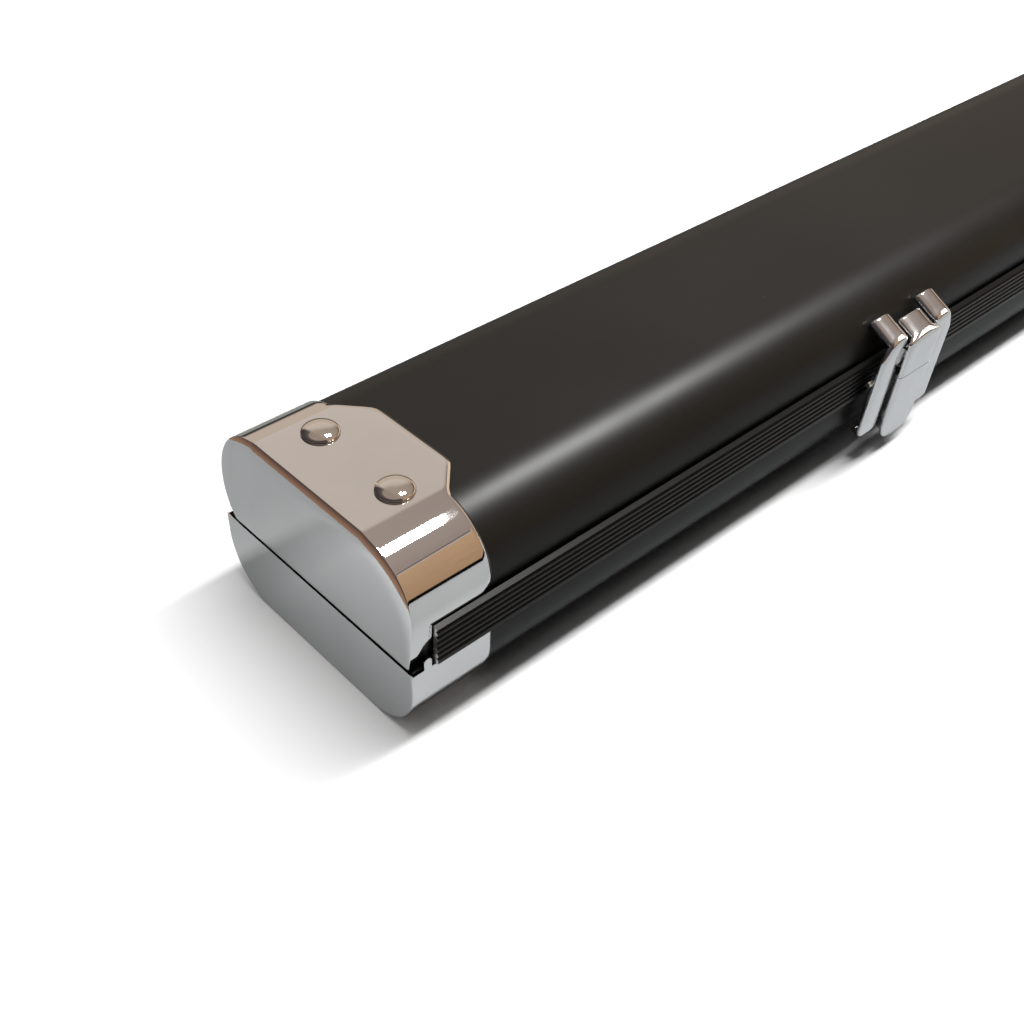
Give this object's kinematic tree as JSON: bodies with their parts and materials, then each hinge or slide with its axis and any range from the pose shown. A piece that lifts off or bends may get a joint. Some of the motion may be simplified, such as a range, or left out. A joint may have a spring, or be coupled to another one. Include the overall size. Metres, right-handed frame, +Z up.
{
  "type": "cue case",
  "caption": "Slim hinged aluminium case for a two-piece billiard cue, with chromed end caps, draw latches, a folding handle and a foam tray.",
  "frame": {"origin": "middle of the whole footprint, on the surface that the case stands on", "axes": "+X along the case, -Y towards the latches and the handle, +Z up"},
  "size_m": [0.84, 0.0932, 0.06],
  "materials": {
    "anodised": "satin black anodised aluminium",
    "anodised_strip": "satin black anodised aluminium, extruded ribs",
    "chrome_cap": "bright chrome, pressed sheet",
    "chrome_rivet": "bright chrome, domed",
    "chrome_latch": "chrome, slightly dulled by handling",
    "zinc_plate": "zinc plated",
    "latch_pin": "turned steel",
    "hinge": "nickel plated, rolled strip",
    "hinge_pin": "drawn wire",
    "rivet": "plain aluminium",
    "foam": "flocked foam, charcoal",
    "grip": "matt moulded rubber"
  },
  "bodies": {
    "base": {"base_shell": "anodised", "closing_strip": "anodised_strip", "base_cap_left": "chrome_cap", "base_cap_right": "chrome_cap", "base_cap_rivets": "rivet", "hinge_leaf_base": "hinge", "hinge_pin": "hinge_pin", "hinge_rivets_base": "rivet", "foam_tray": "foam", "latch_bracket_left": "zinc_plate", "latch_bracket_right": "zinc_plate", "latch_pivot_left": "latch_pin", "latch_pivot_right": "latch_pin", "latch_rivets": "rivet", "handle_bracket_left": "chrome_latch", "handle_bracket_right": "chrome_latch", "handle_rivets": "rivet"},
    "lid": {"lid_shell": "anodised", "lid_cap_left": "chrome_cap", "lid_cap_right": "chrome_cap", "lid_cap_rivets": "chrome_rivet", "hinge_leaf_lid": "hinge", "hinge_rivets_lid": "rivet", "lid_pad": "foam"},
    "lever_left": {"latch_lever_left": "chrome_latch", "claw_pin_left": "latch_pin"},
    "lever_right": {"latch_lever_right": "chrome_latch", "claw_pin_right": "latch_pin"},
    "claw_left": {"latch_claw_left": "chrome_latch"},
    "claw_right": {"latch_claw_right": "chrome_latch"},
    "handle": {"handle_bow": "chrome_latch", "handle_grip": "grip"}
  },
  "joints": [
    {"name": "lid_hinge", "type": "hinge", "parent": "base", "child": "lid", "pos_m": [0, 0.0447, 0.0262], "axis": [-1, 0, 0], "range_deg": [0, 150]},
    {"name": "lever_left_pivot", "type": "hinge", "parent": "base", "child": "lever_left", "pos_m": [-0.224, -0.038, 0.031], "axis": [-1, 0, 0], "range_deg": [0, 105]},
    {"name": "claw_left_pivot", "type": "hinge", "parent": "lever_left", "child": "claw_left", "pos_m": [-0.224, -0.03618, 0.01208], "axis": [-1, 0, 0], "range_deg": [-105, 0]},
    {"name": "lever_right_pivot", "type": "hinge", "parent": "base", "child": "lever_right", "pos_m": [0.224, -0.038, 0.031], "axis": [-1, 0, 0], "range_deg": [0, 105]},
    {"name": "claw_right_pivot", "type": "hinge", "parent": "lever_right", "child": "claw_right", "pos_m": [0.224, -0.03618, 0.01208], "axis": [-1, 0, 0], "range_deg": [-105, 0]},
    {"name": "handle_swing", "type": "hinge", "parent": "base", "child": "handle", "pos_m": [0, -0.0404, 0.031], "axis": [-1, 0, 0], "range_deg": [0, 110]}
  ],
  "couplings": [
    {"joint": "claw_left_pivot", "follows": "lever_left_pivot", "ratio": -1},
    {"joint": "claw_right_pivot", "follows": "lever_right_pivot", "ratio": -1}
  ]
}
